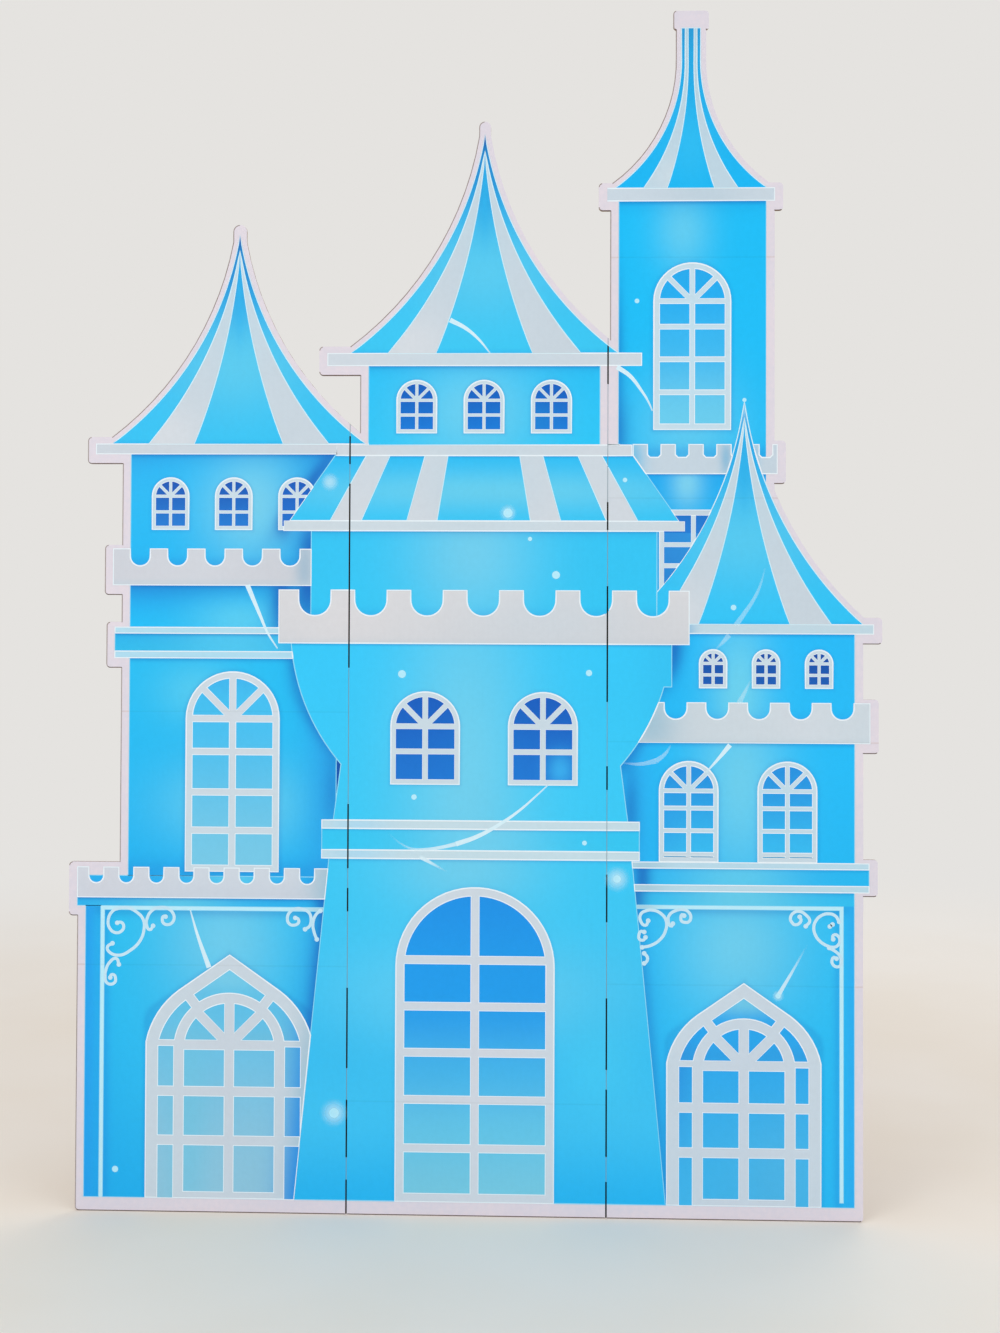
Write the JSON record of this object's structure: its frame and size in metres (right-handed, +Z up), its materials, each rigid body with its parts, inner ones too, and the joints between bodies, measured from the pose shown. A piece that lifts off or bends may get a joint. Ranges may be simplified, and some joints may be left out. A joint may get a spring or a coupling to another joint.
{
  "type": "cardboard castle",
  "caption": "Flat printed cardboard castle front: die-cut folding board with pointed towers, held upright from behind by a folded card easel.",
  "frame": {"origin": "on the floor, halfway across the board and halfway through the depth of board and easel", "axes": "+Z up along the board's height, +Y from the printed front to the easel behind, +X to the viewer's right as the viewer faces the print"},
  "size_m": [1.231, 0.3844, 1.8244],
  "materials": {
    "board_face": "white coated corrugated board",
    "easel_card": "plain brown corrugated card",
    "blue_ink": "satin sky blue print",
    "pale_ink": "satin pale grey blue print",
    "frame_ink": "satin pale grey blue print",
    "dark_pane_ink": "satin royal blue print",
    "mid_pane_ink": "satin mid blue print",
    "pale_pane_ink": "satin pale cyan print",
    "door_pane_ink": "satin blue print, paler at the foot",
    "shadow_ink": "satin navy print"
  },
  "bodies": {
    "root": {"castle_board": "board_face", "crown_roof_blue": "blue_ink", "crown_roof_pale": "pale_ink", "crown_trim": "pale_ink", "crown_wall": "blue_ink", "dark_panes": "dark_pane_ink", "door_panes": "door_pane_ink", "easel": "easel_card", "hip_roof_blue": "blue_ink", "hip_roof_pale": "pale_ink", "keep_base": "blue_ink", "keep_trim": "pale_ink", "keep_wall": "blue_ink", "left_gatehouse_trim": "pale_ink", "left_gatehouse_wall": "blue_ink", "left_roof_blue": "blue_ink", "left_roof_pale": "pale_ink", "left_tower_trim": "pale_ink", "left_tower_wall": "blue_ink", "mid_panes": "mid_pane_ink", "pale_panes": "pale_pane_ink", "right_gatehouse_trim": "pale_ink", "right_gatehouse_wall": "blue_ink", "right_roof_blue": "blue_ink", "right_roof_pale": "pale_ink", "right_turret_trim": "pale_ink", "right_turret_wall": "blue_ink", "spire_roof_blue": "blue_ink", "spire_roof_pale": "pale_ink", "tall_tower_trim": "pale_ink", "tall_tower_wall": "blue_ink", "waist_shadow": "shadow_ink", "window_frames": "frame_ink"}
  },
  "joints": []
}
